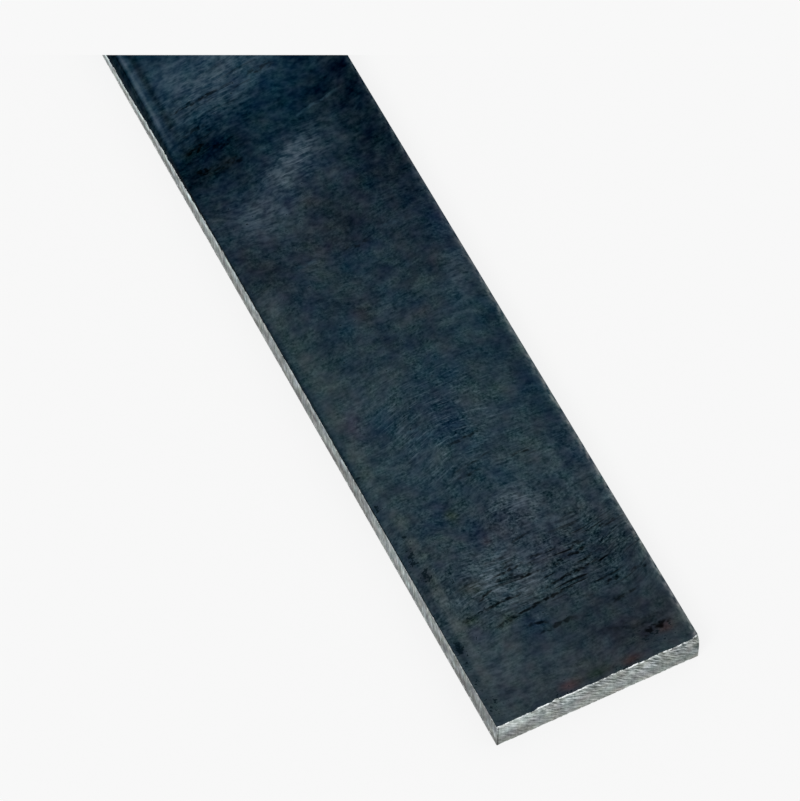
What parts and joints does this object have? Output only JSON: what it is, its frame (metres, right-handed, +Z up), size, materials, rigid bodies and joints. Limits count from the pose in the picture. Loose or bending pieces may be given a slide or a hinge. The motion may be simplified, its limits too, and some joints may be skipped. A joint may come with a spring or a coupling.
{
  "type": "metal flat bar",
  "caption": "Straight length of hot-rolled steel flat bar: plain rectangular section, dark mill scale on the broad faces, bare long edges and cropped ends.",
  "frame": {"origin": "on the underside, below the middle of the bar's length and width", "axes": "+X along the bar, +Y across its width, +Z up through its thickness"},
  "size_m": [1, 0.05, 0.008],
  "materials": {
    "steel": "hot-rolled mild steel: blue-black mill scale with fine scratches on the broad faces, bare grey metal on the long edges and cropped ends"
  },
  "bodies": {
    "root": {"flat_bar": "steel"}
  },
  "joints": []
}
